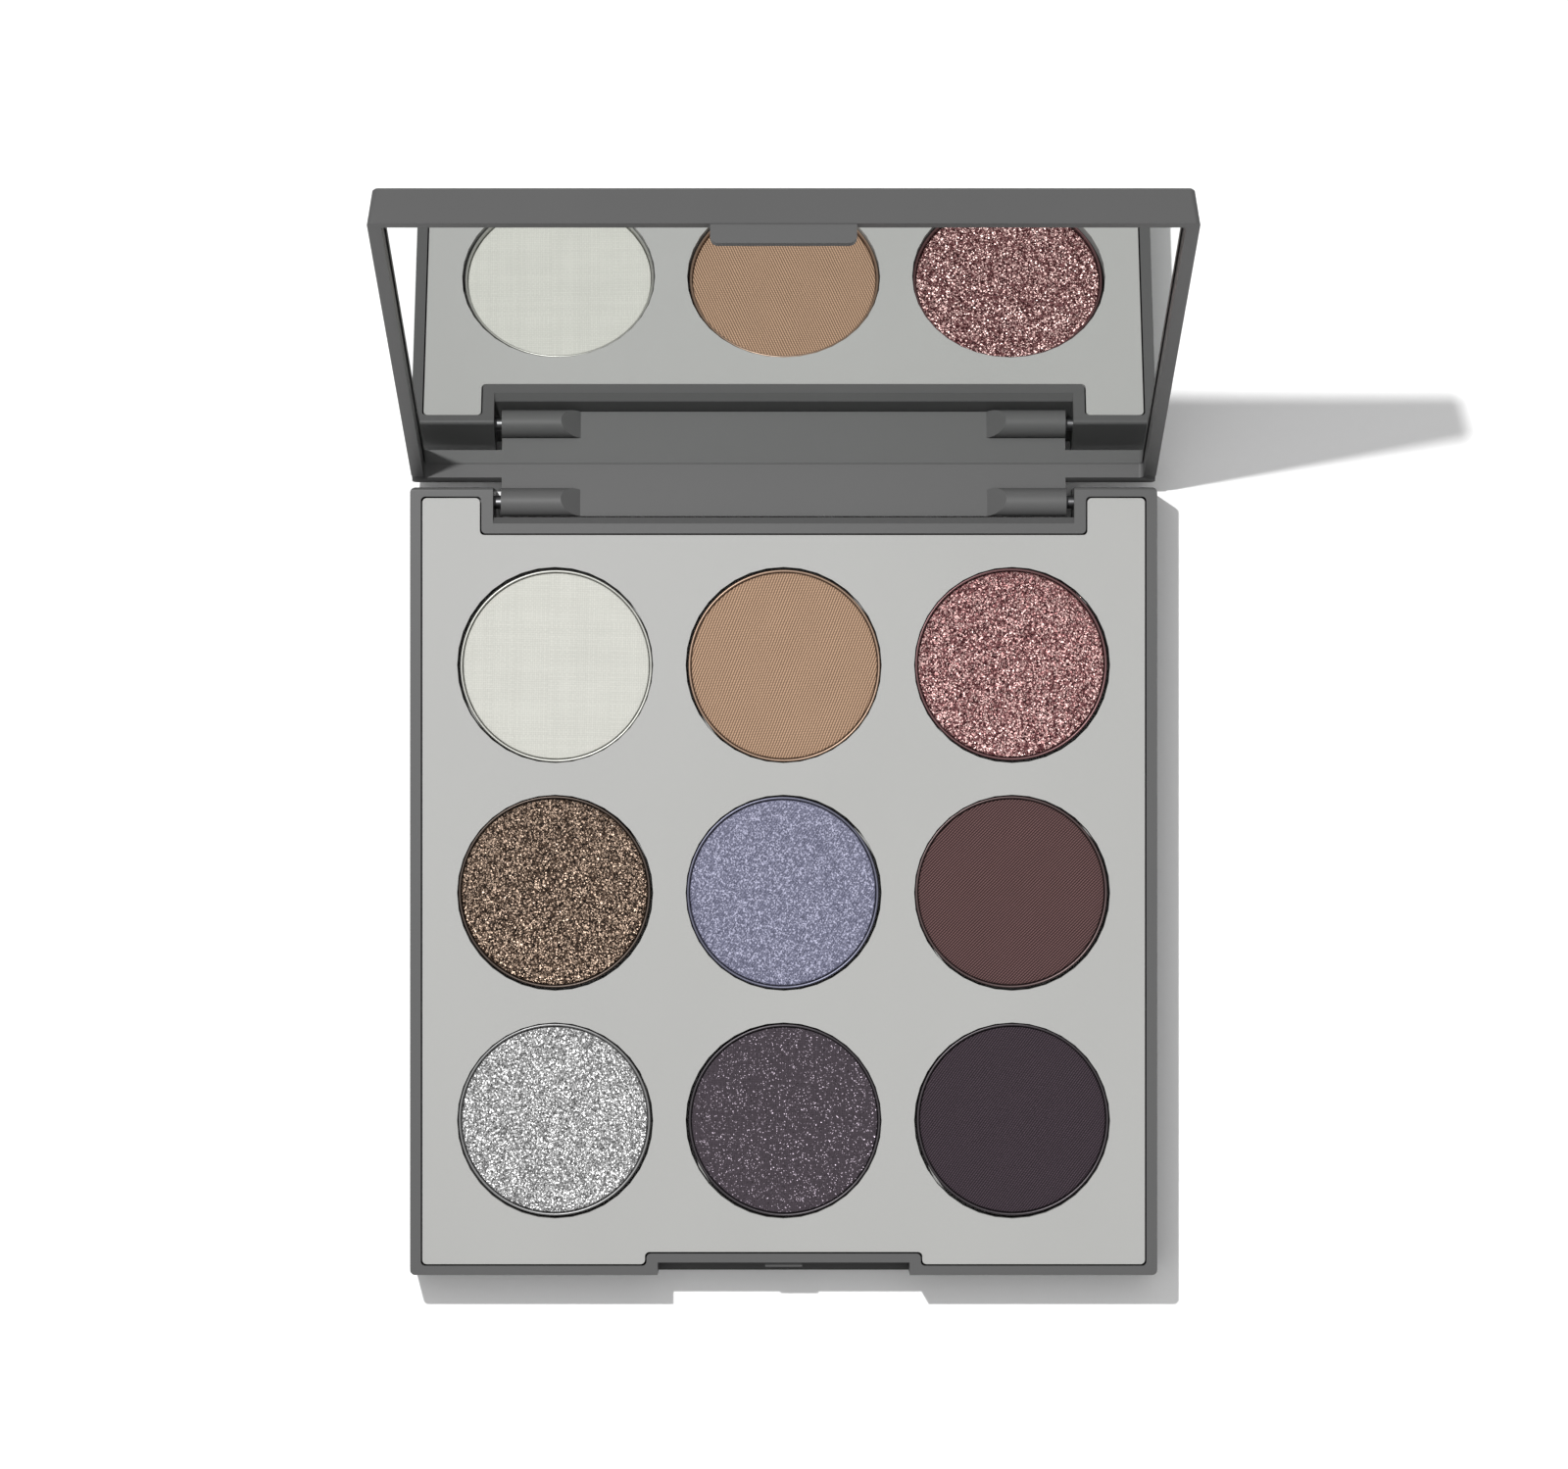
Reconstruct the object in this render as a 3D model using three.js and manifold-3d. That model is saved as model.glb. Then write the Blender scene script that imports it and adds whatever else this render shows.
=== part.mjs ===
// A square eyeshadow palette: a shallow case with nine round pans in a tray and a hinged lid with a mirror.
// Millimetres, +Z up, +X right, +Y towards the hinge. The origin is the centre of the underside of the base.
import * as THREE from "three";
import { mergeVertices } from "three/addons/utils/BufferGeometryUtils.js";
import Module from "manifold-3d";

const wasm = await Module();
wasm.setup();

// ---------- driving dimensions ----------

// Pans and powders.
const COLUMNS = 3;
const ROWS = 3;
const PAN_DIAMETER = 26;
const PAN_HEIGHT = 4;
const PAN_WALL = 0.35;
const PAN_LIP = 0.45; // how far the powder lies below the pan's rim
const PAN_CLEARANCE = 0.25; // between a pan and its well, all round
const PAN_SINK = 0.5; // how far a pan's rim lies below the tray's top
const POWDER_GAP = 0.05; // between a powder's edge and its pan
const POWDER_EDGE = 0.2; // chamfer round a powder's top
const GLUE_DIAMETER = 22;
const GLUE_THICKNESS = 0.4;

// Tray.
const COLUMN_BRIDGE = 4.4; // land between two wells in a row
const ROW_BRIDGE = 4.3; // land between two wells in a column
const SIDE_BORDER = 6.35; // from the outermost wells to the case's side faces
const FRONT_BORDER = 7.63; // from the front wells to the case's front face
const REAR_BORDER = 10.77; // from the rear wells to the case's rear face
const TRAY_THICKNESS = 1.2;
const TRAY_SINK = 0.2; // how far the tray lies below the base's rim
const TRAY_GAP = 0.2; // between the tray and the walls
const WELL_WALL = 0.8;
const WELL_FLOOR = 1;

// Base.
const BASE_HEIGHT = 11;
const BASE_FLOOR = 1.6;
const SIDE_WALL = 1.45;
const END_WALL = 1.25;
const CORNER_RADIUS = 0.7;
const POCKET_RADIUS = 0.6; // corners of the tray and of the pocket it lies in
const REAR_EDGE_RADIUS = 0.5; // along the base's rear rim, where the lid turns past it
const EDGE_CHAMFER = 0.25; // round the underside of the base and the back of the lid
const POST_RADIUS = 2.5;
const STUD_RADIUS = 1;
const STUD_LENGTH = 2.4;
const STUD_CLEARANCE = 0.15;
const RIB_WIDTH = 1.2;
const RIB_DEPTH = 2;

// Lid and mirror.
const CLOSING_GAP = 0.2; // between the two rims when the palette is shut
const LID_THICKNESS = 4.8;
const LID_DRAFT = 0.6; // how far the lid's back is drawn in at the sides and the front
const LID_SIDE_WALL = 1.65;
const LID_FRONT_WALL = 1.6;
const MIRROR_SINK = 2.15; // from the lid's rim to the glass
const MIRROR_THICKNESS = 1.1;
const MIRROR_GAP = 0.2; // between the mirror's edge and the lid's frame
const MIRROR_CORNER = 0.6;
const SHEET_THICKNESS = 0.2; // adhesive sheet behind the mirror
const SHEET_GAP = 0.05; // on both faces of that sheet
const SHEET_INSET = 5;

// Hinge.
const BARREL_RADIUS = 1.9;
const PIN_RADIUS = 0.9;
const PIN_CLEARANCE = 0.1; // in the knuckle, where the pin turns
const PRESS_CLEARANCE = 0.03; // in the base, where the pin is pressed in
const PIN_DROP = 3.2; // from the base's rim down to the pin's axis
const APRON_OFFSET = 0.35; // from the pin's axis to the apron's inner face
const NOTCH_HALF_WIDTH = 39.3;
const NOTCH_CLEARANCE = 0.25; // between the barrel and the notch's front wall
const NOTCH_CHAMFER = 0.85;
const NOTCH_RIM = 1.35; // rim in front of the chamfer
const NOTCH_SIDE_RIM = 1.57; // rim beside the notch
const APRON_SIDE_GAP = 1; // between the apron's ends and the notch's sides
const KNUCKLE_LENGTH = 10.7;
const KNUCKLE_SLANT = 2.6; // how far a knuckle's inner end slopes
const PIN_IN_KNUCKLE = 7.8;
const PIN_IN_BASE = 5.7;
const BOSS_LENGTH = 6.2;
const TURNING_CLEARANCE = 0.08; // between the turning lid and the base's rear rim
const OPEN_ANGLE = 105; // degrees, how far the lid stands open at rest

// Latch.
const RECESS_HALF_WIDTH = 17.05;
const RECESS_DEPTH = 1.7;
const RECESS_WALL = 1.2;
const RECESS_SIDE_RIM = 1.5;
const TAB_WIDTH = 17.8;
const TAB_DROP = 2.45;
const TAB_THICKNESS = 1.15;
const TAB_INSET = 0.2; // from the case's front face
const TAB_CORNER = 1;
const CATCH_WIDTH = 5;
const CATCH_REACH = 0.65;
const CATCH_HEIGHT = 0.8;
const CATCH_DROP = 1.15; // from the base's rim down to the middle of the catch
const CATCH_CLEARANCE = 0.15; // to the pocket in the tab
const CATCH_SIDE_GAP = 0.3;

// Label.
const LABEL_WIDTH = 54;
const LABEL_DEPTH = 30;
const LABEL_THICKNESS = 0.2;
const LABEL_RECESS = 0.3;
const LABEL_GAP = 0.4;
const LABEL_SHIFT = 26; // from the middle of the base towards its front

// Facets round a circle.
const ROUND = 36;
const SMALL_ROUND = 24;

// Overlap of pieces that are joined, or of a cut past a face.
const BITE = 0.5;

// ---------- worked-out sizes ----------

const wellRadius = PAN_DIAMETER / 2 + PAN_CLEARANCE;
const pitchX = 2 * wellRadius + COLUMN_BRIDGE;
const pitchY = 2 * wellRadius + ROW_BRIDGE;
const halfWidth = ((COLUMNS - 1) * pitchX) / 2 + wellRadius + SIDE_BORDER;
const depth = (ROWS - 1) * pitchY + 2 * wellRadius + FRONT_BORDER + REAR_BORDER;
const front = -depth / 2;
const rear = depth / 2;
const gridY = (FRONT_BORDER - REAR_BORDER) / 2;

const trayTop = BASE_HEIGHT - TRAY_SINK;
const trayUnder = trayTop - TRAY_THICKNESS;
const panTop = trayTop - PAN_SINK;
const panUnder = panTop - PAN_HEIGHT;
const wellTop = panUnder - GLUE_THICKNESS; // the face the adhesive lies on

const pinY = rear - BARREL_RADIUS;
const pinZ = BASE_HEIGHT - PIN_DROP;
const notchY = pinY - BARREL_RADIUS - NOTCH_CLEARANCE;
const notchRimY = notchY - NOTCH_CHAMFER - NOTCH_RIM;
const apronHalf = NOTCH_HALF_WIDTH - APRON_SIDE_GAP;

const recessY = front + RECESS_DEPTH;
const recessRimY = recessY + RECESS_WALL;
const recessRimHalf = RECESS_HALF_WIDTH + RECESS_SIDE_RIM;

const lidRim = BASE_HEIGHT + CLOSING_GAP;
const lidTop = lidRim + LID_THICKNESS;
const mirrorZ = lidRim + MIRROR_SINK;
const sheetZ = mirrorZ + MIRROR_THICKNESS + SHEET_GAP;
const pocketTop = sheetZ + SHEET_THICKNESS + SHEET_GAP;
const pocketRear = pinY + APRON_OFFSET;

// Where each pan lies in its well: pans are stuck in by hand, a little off the middle, as [x, y] shares
// of half the clearance, from the rear left well to the front right one.
const PAN_LEAN = [
  [1, -1], [0.7, -0.7], [-1, 0.8],
  [-0.9, 0.9], [-1, 0], [-0.8, 0.8],
  [-0.8, 0.8], [1, 0.2], [0.7, 0.9],
];

// ---------- solids ----------

// A closed three.js geometry as a manifold solid.
function solidOf(geometry) {
  geometry.deleteAttribute("normal");
  geometry.deleteAttribute("uv");
  const merged = mergeVertices(geometry, 1e-4);
  return new wasm.Manifold(
    new wasm.Mesh({
      numProp: 3,
      vertProperties: merged.attributes.position.array,
      triVerts: new Uint32Array(merged.index.array),
    }),
  );
}

// A manifold solid as a three.js geometry.
function geometryOf(solid) {
  const mesh = solid.getMesh();
  const geometry = new THREE.BufferGeometry();
  geometry.setAttribute("position", new THREE.BufferAttribute(mesh.vertProperties, 3));
  geometry.setIndex(new THREE.BufferAttribute(mesh.triVerts, 1));
  geometry.computeVertexNormals();
  return geometry;
}

// A box between two corners.
function box([x0, y0, z0], [x1, y1, z1]) {
  const geometry = new THREE.BoxGeometry(x1 - x0, y1 - y0, z1 - z0);
  geometry.translate((x0 + x1) / 2, (y0 + y1) / 2, (z0 + z1) / 2);
  return solidOf(geometry);
}

// The outline of a rectangle with round corners.
function roundedOutline(x0, x1, y0, y1, radius) {
  const shape = new THREE.Shape();
  shape.moveTo(x0 + radius, y0);
  shape.lineTo(x1 - radius, y0);
  shape.absarc(x1 - radius, y0 + radius, radius, -Math.PI / 2, 0, false);
  shape.absarc(x1 - radius, y1 - radius, radius, 0, Math.PI / 2, false);
  shape.absarc(x0 + radius, y1 - radius, radius, Math.PI / 2, Math.PI, false);
  shape.absarc(x0 + radius, y0 + radius, radius, Math.PI, Math.PI * 1.5, false);
  return shape;
}

// The outline of the tray's pocket in the base, drawn in by a gap: a rectangle that keeps clear of the hinge
// notch at the rear and of the latch recess at the front, with every corner rounded.
function pocketOutline(gap) {
  const x = halfWidth - SIDE_WALL - gap;
  const y0 = front + END_WALL + gap;
  const y1 = rear - END_WALL - gap;
  const recessX = recessRimHalf + gap;
  const recessInner = recessRimY + gap;
  const notchX = NOTCH_HALF_WIDTH + NOTCH_SIDE_RIM + gap;
  const notchInner = notchRimY - gap;
  const rightHalf = [
    [recessX, recessInner],
    [recessX, y0],
    [x, y0],
    [x, y1],
    [notchX, y1],
    [notchX, notchInner],
  ];
  const leftHalf = rightHalf.map(([cornerX, cornerY]) => [-cornerX, cornerY]).reverse();
  return filletedShape([...rightHalf, ...leftHalf], POCKET_RADIUS);
}

// A closed outline of square corners, each rounded.
function filletedShape(corners, radius) {
  const shape = new THREE.Shape();
  corners.forEach(([x, y], index) => {
    const [beforeX, beforeY] = corners[(index + corners.length - 1) % corners.length];
    const [afterX, afterY] = corners[(index + 1) % corners.length];
    const corner = new THREE.Vector2(x, y);
    const back = new THREE.Vector2(beforeX, beforeY).sub(corner).normalize();
    const ahead = new THREE.Vector2(afterX, afterY).sub(corner).normalize();
    const middle = corner.clone().addScaledVector(back, radius).addScaledVector(ahead, radius);
    const start = Math.atan2(-ahead.y, -ahead.x);
    const end = Math.atan2(-back.y, -back.x);
    const clockwise = back.cross(ahead) > 0;
    if (index === 0) {
      shape.moveTo(x + back.x * radius, y + back.y * radius);
    } else {
      shape.lineTo(x + back.x * radius, y + back.y * radius);
    }
    shape.absarc(middle.x, middle.y, radius, start, end, clockwise);
  });
  return shape;
}

// An outline drawn up between two heights.
function upright(shape, z0, z1) {
  const geometry = new THREE.ExtrudeGeometry(shape, { depth: z1 - z0, bevelEnabled: false, curveSegments: 5 });
  geometry.translate(0, 0, z0);
  return solidOf(geometry);
}

// A flat plate with round corners, between two heights.
function plate([x0, y0, z0], [x1, y1, z1], radius) {
  const outline = roundedOutline(x0, x1, y0, y1, radius);
  const geometry = new THREE.ExtrudeGeometry(outline, { depth: z1 - z0, bevelEnabled: false, curveSegments: 6 });
  geometry.translate(0, 0, z0);
  return solidOf(geometry);
}

// The same plate with a chamfer round its lower edge.
function chamferedPlate([x0, y0, z0], [x1, y1, z1], radius, chamfer) {
  const outline = roundedOutline(x0, x1, y0, y1, radius);
  const geometry = new THREE.ExtrudeGeometry(outline, {
    depth: z1 - z0,
    bevelEnabled: true,
    bevelSegments: 1,
    bevelSize: chamfer,
    bevelThickness: chamfer,
    bevelOffset: -chamfer,
    curveSegments: 6,
  });
  geometry.translate(0, 0, z0 + chamfer);
  const above = box([x0 - BITE, y0 - BITE, z1], [x1 + BITE, y1 + BITE, z1 + 4 * chamfer]);
  return solidOf(geometry).subtract(above);
}

// An upright cylinder.
function post(x, y, radius, z0, z1, facets) {
  const geometry = new THREE.CylinderGeometry(radius, radius, z1 - z0, facets);
  geometry.rotateX(Math.PI / 2);
  geometry.translate(x, y, (z0 + z1) / 2);
  return solidOf(geometry);
}

// A cylinder along X on the hinge's axis.
function hingeRod(radius, x0, x1, facets) {
  const geometry = new THREE.CylinderGeometry(radius, radius, x1 - x0, facets);
  geometry.rotateZ(Math.PI / 2);
  geometry.translate((x0 + x1) / 2, pinY, pinZ);
  return solidOf(geometry);
}

// An outline of [y, z] points drawn out along X.
function sectionAlongX(points, x0, x1) {
  const shape = new THREE.Shape(points.map(([y, z]) => new THREE.Vector2(y, z)));
  const geometry = new THREE.ExtrudeGeometry(shape, { depth: x1 - x0, bevelEnabled: false });
  // The shape's x, y and depth become Y, Z and X.
  const turn = new THREE.Matrix4().set(0, 0, 1, x0, 1, 0, 0, 0, 0, 1, 0, 0, 0, 0, 0, 1);
  geometry.applyMatrix4(turn);
  return solidOf(geometry);
}

// A round piece from a profile of [radius, height] points that starts and ends on the axis.
function turned(points, facets) {
  const profile = points.map(([radius, z]) => new THREE.Vector2(radius, z));
  const geometry = new THREE.LatheGeometry(profile, facets);
  geometry.rotateX(Math.PI / 2);
  return solidOf(geometry);
}

// The middles of the wells, from the rear left one to the front right one.
function wellPlaces() {
  const places = [];
  for (let row = 0; row < ROWS; row++) {
    for (let column = 0; column < COLUMNS; column++) {
      const x = (column - (COLUMNS - 1) / 2) * pitchX;
      const y = gridY + ((ROWS - 1) / 2 - row) * pitchY;
      places.push([x, y]);
    }
  }
  return places;
}

// The places between four wells, where the tray stands on the base's posts.
function postPlaces() {
  const places = [];
  for (let row = 0; row < ROWS - 1; row++) {
    for (let column = 0; column < COLUMNS - 1; column++) {
      const x = (column - (COLUMNS - 2) / 2) * pitchX;
      const y = gridY + ((ROWS - 2) / 2 - row) * pitchY;
      places.push([x, y]);
    }
  }
  return places;
}

// ---------- base ----------

// The two boxes that hold the pressed ends of the hinge pins, beside the notch.
function pinBosses() {
  return [-1, 1].map((side) => {
    const inner = side * NOTCH_HALF_WIDTH;
    const outer = side * (NOTCH_HALF_WIDTH + BOSS_LENGTH);
    const low = [Math.min(inner, outer), notchY, BITE];
    const high = [Math.max(inner, outer), rear - BITE, trayUnder - TRAY_GAP];
    return box(low, high);
  });
}

// Ribs on the side walls that carry the tray's edges, level with the lands between the rows.
function sideRibs() {
  const ribs = [];
  const wall = halfWidth - SIDE_WALL;
  for (const [, y] of postPlaces()) {
    for (const side of [-1, 1]) {
      const inner = side * (wall - RIB_DEPTH);
      const outer = side * (wall + BITE);
      const low = [Math.min(inner, outer), y - RIB_WIDTH / 2, BASE_FLOOR - BITE];
      const high = [Math.max(inner, outer), y + RIB_WIDTH / 2, trayUnder];
      ribs.push(box(low, high));
    }
  }
  return ribs;
}

// The nub that the lid's tab snaps over, with a slope above it and a shorter one below it.
function catchNub() {
  const middle = BASE_HEIGHT - CATCH_DROP;
  const half = CATCH_HEIGHT / 2;
  const face = recessY - CATCH_REACH;
  const outline = [
    [recessY + BITE, middle - half],
    [recessY + BITE, middle + half],
    [recessY, middle + half],
    [face, middle + half / 2],
    [face, middle - half / 2],
    [recessY, middle - half],
  ];
  return sectionAlongX(outline.reverse(), -CATCH_WIDTH / 2, CATCH_WIDTH / 2);
}

// What rounds off the base's upper rear edge.
function rearEdgeCut() {
  const middleY = rear - REAR_EDGE_RADIUS;
  const middleZ = BASE_HEIGHT - REAR_EDGE_RADIUS;
  const steps = 5;
  const outline = [[rear + BITE, BASE_HEIGHT + BITE], [middleY, BASE_HEIGHT + BITE]];
  for (let i = 0; i <= steps; i++) {
    const angle = (Math.PI / 2) * (1 - i / steps);
    outline.push([middleY + REAR_EDGE_RADIUS * Math.cos(angle), middleZ + REAR_EDGE_RADIUS * Math.sin(angle)]);
  }
  outline.push([rear + BITE, middleZ]);
  return sectionAlongX(outline, -halfWidth - BITE, halfWidth + BITE);
}

function baseShell() {
  const cavity = upright(pocketOutline(0), BASE_FLOOR, BASE_HEIGHT + BITE);
  const notch = box([-NOTCH_HALF_WIDTH, notchY, -BITE], [NOTCH_HALF_WIDTH, rear + BITE, BASE_HEIGHT + BITE]);
  const notchSlope = sectionAlongX(
    [
      [notchY + BITE, BASE_HEIGHT - NOTCH_CHAMFER - BITE],
      [notchY + BITE, BASE_HEIGHT + BITE],
      [notchY - NOTCH_CHAMFER - BITE, BASE_HEIGHT + BITE],
    ],
    -NOTCH_HALF_WIDTH,
    NOTCH_HALF_WIDTH,
  );
  const recess = box(
    [-RECESS_HALF_WIDTH, front - BITE, BASE_FLOOR],
    [RECESS_HALF_WIDTH, recessY, BASE_HEIGHT + BITE],
  );
  const labelRecess = plate(
    [-LABEL_WIDTH / 2 - LABEL_GAP, -LABEL_SHIFT - LABEL_DEPTH / 2 - LABEL_GAP, -BITE],
    [LABEL_WIDTH / 2 + LABEL_GAP, -LABEL_SHIFT + LABEL_DEPTH / 2 + LABEL_GAP, LABEL_RECESS],
    CORNER_RADIUS,
  );

  let shell = chamferedPlate([-halfWidth, front, 0], [halfWidth, rear, BASE_HEIGHT], CORNER_RADIUS, EDGE_CHAMFER);
  shell = shell.subtract(cavity);
  for (const piece of [...pinBosses(), ...sideRibs()]) {
    shell = shell.add(piece);
  }
  for (const [x, y] of postPlaces()) {
    const bore = STUD_RADIUS + STUD_CLEARANCE;
    shell = shell.add(post(x, y, POST_RADIUS, BASE_FLOOR - BITE, trayUnder, SMALL_ROUND));
    shell = shell.subtract(post(x, y, bore, trayUnder - STUD_LENGTH - BITE, trayUnder + BITE, SMALL_ROUND));
  }
  for (const cut of [notch, notchSlope, recess, labelRecess, rearEdgeCut()]) {
    shell = shell.subtract(cut);
  }
  for (const side of [-1, 1]) {
    const inner = side * (NOTCH_HALF_WIDTH - BITE);
    const outer = side * (NOTCH_HALF_WIDTH + PIN_IN_BASE);
    const bore = hingeRod(PIN_RADIUS + PRESS_CLEARANCE, Math.min(inner, outer), Math.max(inner, outer), SMALL_ROUND);
    shell = shell.subtract(bore);
  }
  return shell.add(catchNub());
}

// ---------- tray, pans and powders ----------

function panTray() {
  let tray = upright(pocketOutline(TRAY_GAP), trayUnder, trayTop);
  for (const [x, y] of wellPlaces()) {
    tray = tray.add(post(x, y, wellRadius + WELL_WALL, wellTop - WELL_FLOOR, trayUnder + BITE, ROUND));
  }
  for (const [x, y] of wellPlaces()) {
    tray = tray.subtract(post(x, y, wellRadius, wellTop, trayTop + BITE, ROUND));
  }
  for (const [x, y] of postPlaces()) {
    tray = tray.add(post(x, y, STUD_RADIUS, trayUnder - STUD_LENGTH, trayUnder + BITE, SMALL_ROUND));
  }
  return tray;
}

function powderPan() {
  const outer = PAN_DIAMETER / 2;
  const inner = outer - PAN_WALL;
  return turned([[0, 0], [outer, 0], [outer, PAN_HEIGHT], [inner, PAN_HEIGHT], [inner, PAN_WALL], [0, PAN_WALL]], ROUND);
}

function pressedPowder() {
  const edge = PAN_DIAMETER / 2 - PAN_WALL - POWDER_GAP;
  const top = PAN_HEIGHT - PAN_LIP;
  return turned([[0, PAN_WALL], [edge, PAN_WALL], [edge, top - POWDER_EDGE], [edge - POWDER_EDGE, top], [0, top]], ROUND);
}

function panAdhesive() {
  return turned([[0, -GLUE_THICKNESS], [GLUE_DIAMETER / 2, -GLUE_THICKNESS], [GLUE_DIAMETER / 2, 0], [0, 0]], ROUND);
}

// ---------- hinge and label ----------

function hingePin(side) {
  const inner = side * (apronHalf - PIN_IN_KNUCKLE);
  const outer = side * (NOTCH_HALF_WIDTH + PIN_IN_BASE - TRAY_GAP);
  return hingeRod(PIN_RADIUS, Math.min(inner, outer), Math.max(inner, outer), SMALL_ROUND);
}

function baseLabel() {
  return plate(
    [-LABEL_WIDTH / 2, -LABEL_SHIFT - LABEL_DEPTH / 2, LABEL_RECESS - LABEL_THICKNESS],
    [LABEL_WIDTH / 2, -LABEL_SHIFT + LABEL_DEPTH / 2, LABEL_RECESS],
    CORNER_RADIUS,
  );
}

// ---------- lid, as it lies when the palette is shut ----------

// The wall that hangs into the notch between the pins, with a round lower edge about the pins' axis.
function hingeApron() {
  const lowAngle = -Math.acos(APRON_OFFSET / BARREL_RADIUS);
  const outline = [
    [pinY + APRON_OFFSET, lidRim + BITE],
  ];
  const steps = 6;
  for (let i = 0; i <= steps; i++) {
    const angle = lowAngle * (1 - i / steps);
    outline.push([pinY + BARREL_RADIUS * Math.cos(angle), pinZ + BARREL_RADIUS * Math.sin(angle)]);
  }
  outline.push([pinY + BARREL_RADIUS, lidRim + BITE]);
  return sectionAlongX(outline, -apronHalf, apronHalf);
}

// One knuckle, whose inner end slopes away towards the inside of the lid.
function knuckle(side) {
  const inner = apronHalf - KNUCKLE_LENGTH;
  const barrel = hingeRod(BARREL_RADIUS, inner, apronHalf, SMALL_ROUND);
  const wedge = new THREE.Shape([
    new THREE.Vector2(inner - BITE, pinY + APRON_OFFSET),
    new THREE.Vector2(inner - BITE, pinY - BARREL_RADIUS - BITE),
    new THREE.Vector2(
      inner + (KNUCKLE_SLANT * (APRON_OFFSET + BARREL_RADIUS + BITE)) / (APRON_OFFSET + BARREL_RADIUS),
      pinY - BARREL_RADIUS - BITE,
    ),
    new THREE.Vector2(inner, pinY + APRON_OFFSET),
  ]);
  const cut = new THREE.ExtrudeGeometry(wedge, { depth: 2 * BARREL_RADIUS + 2 * BITE, bevelEnabled: false });
  cut.translate(0, 0, pinZ - BARREL_RADIUS - BITE);
  const right = barrel.subtract(solidOf(cut));
  return side > 0 ? right : right.mirror([1, 0, 0]);
}

// The tab on the lid's front rim, with a pocket for the catch.
function latchTab() {
  const y0 = front + TAB_INSET;
  const y1 = y0 + TAB_THICKNESS;
  const low = lidRim - TAB_DROP;
  const half = TAB_WIDTH / 2;
  const outline = roundedOutline(-half, half, low, lidRim + 2 * TAB_CORNER, TAB_CORNER);
  const geometry = new THREE.ExtrudeGeometry(outline, { depth: TAB_THICKNESS, bevelEnabled: false, curveSegments: 5 });
  geometry.rotateX(Math.PI / 2);
  geometry.translate(0, y1, 0);
  const middle = BASE_HEIGHT - CATCH_DROP;
  const pocketHalf = CATCH_WIDTH / 2 + CATCH_SIDE_GAP;
  const pocketZ = CATCH_HEIGHT / 2 + CATCH_CLEARANCE;
  const pocket = box(
    [-pocketHalf, recessY - CATCH_REACH - CATCH_CLEARANCE, middle - pocketZ],
    [pocketHalf, y1 + BITE, middle + pocketZ],
  );
  const inFrame = box([-half - BITE, y0 - BITE, lidRim + BITE], [half + BITE, y1 + BITE, lidRim + 3 * TAB_CORNER]);
  return solidOf(geometry).subtract(pocket).subtract(inFrame);
}

function lidShell() {
  // The plate is made upside down, so that its chamfer comes round the back of the lid.
  const upsideDown = chamferedPlate(
    [-halfWidth, front, -lidTop],
    [halfWidth, rear, -lidRim],
    CORNER_RADIUS,
    EDGE_CHAMFER,
  );
  let shell = upsideDown.mirror([0, 0, 1]).warp((vertex) => {
    const drawnIn = (LID_DRAFT * (vertex[2] - lidRim)) / LID_THICKNESS;
    vertex[0] *= 1 - drawnIn / halfWidth;
    vertex[1] *= vertex[1] < 0 ? 1 + drawnIn / front : 1;
  });
  shell = shell.subtract(
    plate(
      [-halfWidth + LID_SIDE_WALL, front + LID_FRONT_WALL, lidRim - BITE],
      [halfWidth - LID_SIDE_WALL, pocketRear, pocketTop],
      MIRROR_CORNER,
    ),
  );
  const toRearEdge = Math.hypot(BARREL_RADIUS - REAR_EDGE_RADIUS, PIN_DROP - REAR_EDGE_RADIUS);
  const sweep = toRearEdge + REAR_EDGE_RADIUS + TURNING_CLEARANCE;
  for (const side of [-1, 1]) {
    const inner = side * apronHalf;
    const outer = side * (halfWidth + BITE);
    shell = shell.subtract(hingeRod(sweep, Math.min(inner, outer), Math.max(inner, outer), 2 * SMALL_ROUND));
  }
  for (const piece of [hingeApron(), knuckle(1), knuckle(-1), latchTab()]) {
    shell = shell.add(piece);
  }
  for (const side of [-1, 1]) {
    const inner = side * (apronHalf - PIN_IN_KNUCKLE - PIN_CLEARANCE);
    const outer = side * (apronHalf + BITE);
    const bore = hingeRod(PIN_RADIUS + PIN_CLEARANCE, Math.min(inner, outer), Math.max(inner, outer), SMALL_ROUND);
    shell = shell.subtract(bore);
  }
  return shell;
}

function mirrorGlass() {
  return plate(
    [-halfWidth + LID_SIDE_WALL + MIRROR_GAP, front + LID_FRONT_WALL + MIRROR_GAP, mirrorZ],
    [halfWidth - LID_SIDE_WALL - MIRROR_GAP, pocketRear - MIRROR_GAP, mirrorZ + MIRROR_THICKNESS],
    MIRROR_CORNER,
  );
}

function mirrorSheet() {
  return plate(
    [-halfWidth + LID_SIDE_WALL + SHEET_INSET, front + LID_FRONT_WALL + SHEET_INSET, sheetZ],
    [halfWidth - LID_SIDE_WALL - SHEET_INSET, pocketRear - SHEET_INSET, sheetZ + SHEET_THICKNESS],
    CORNER_RADIUS,
  );
}

// ---------- materials ----------

function finish(colour, roughness, metalness = 0) {
  return new THREE.MeshStandardMaterial({ color: colour, roughness, metalness });
}

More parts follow.
